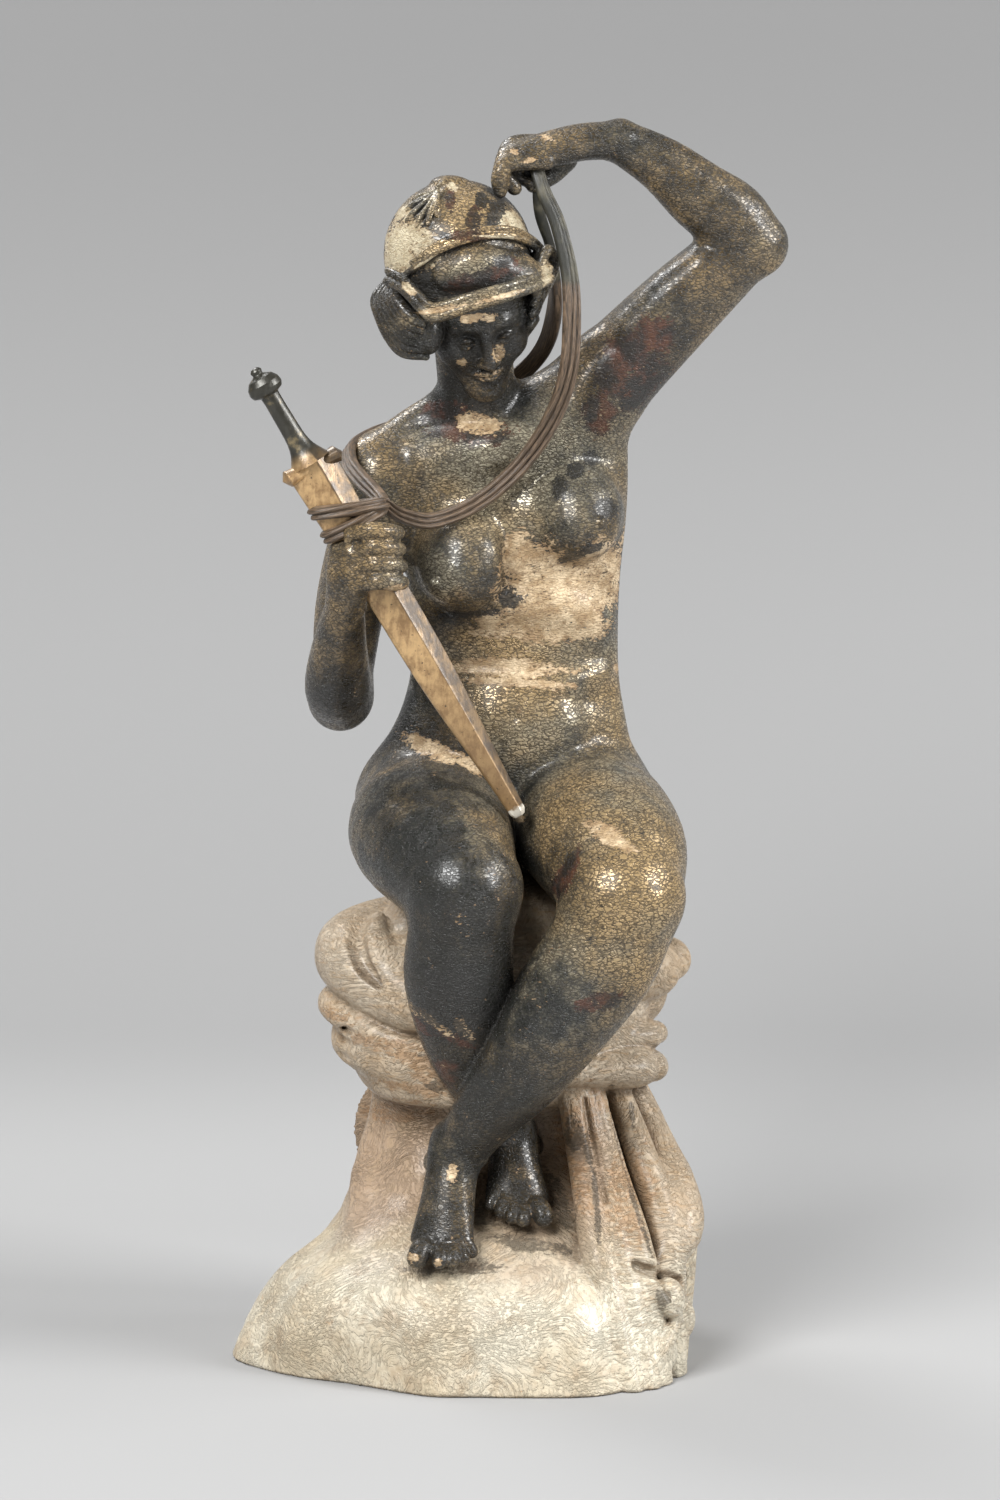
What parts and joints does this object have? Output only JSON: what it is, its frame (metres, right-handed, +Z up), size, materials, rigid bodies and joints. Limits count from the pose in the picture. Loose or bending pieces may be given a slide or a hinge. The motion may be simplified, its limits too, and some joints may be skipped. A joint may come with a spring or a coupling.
{
  "type": "seated goddess statuette",
  "caption": "Seated nude goddess in a pushed-back helmet, one arm raised over her head with a sword belt, the other hand gripping the sheathed sword, on a draped rock base",
  "frame": {"origin": "middle of the underside of the base, on the floor", "axes": "+X to the right of a viewer who faces the figure, +Y away from that viewer, +Z up"},
  "size_m": [0.2875, 0.201, 0.6475],
  "materials": {
    "patinated_plaster": "crackled bronze-coloured patina, worn to cream plaster",
    "gilt_plaster": "worn gilding",
    "brown_strap": "satin brown paint"
  },
  "bodies": {
    "root": {"statue": "patinated_plaster", "sheathed_sword": "gilt_plaster", "baldric": "brown_strap"}
  },
  "joints": []
}
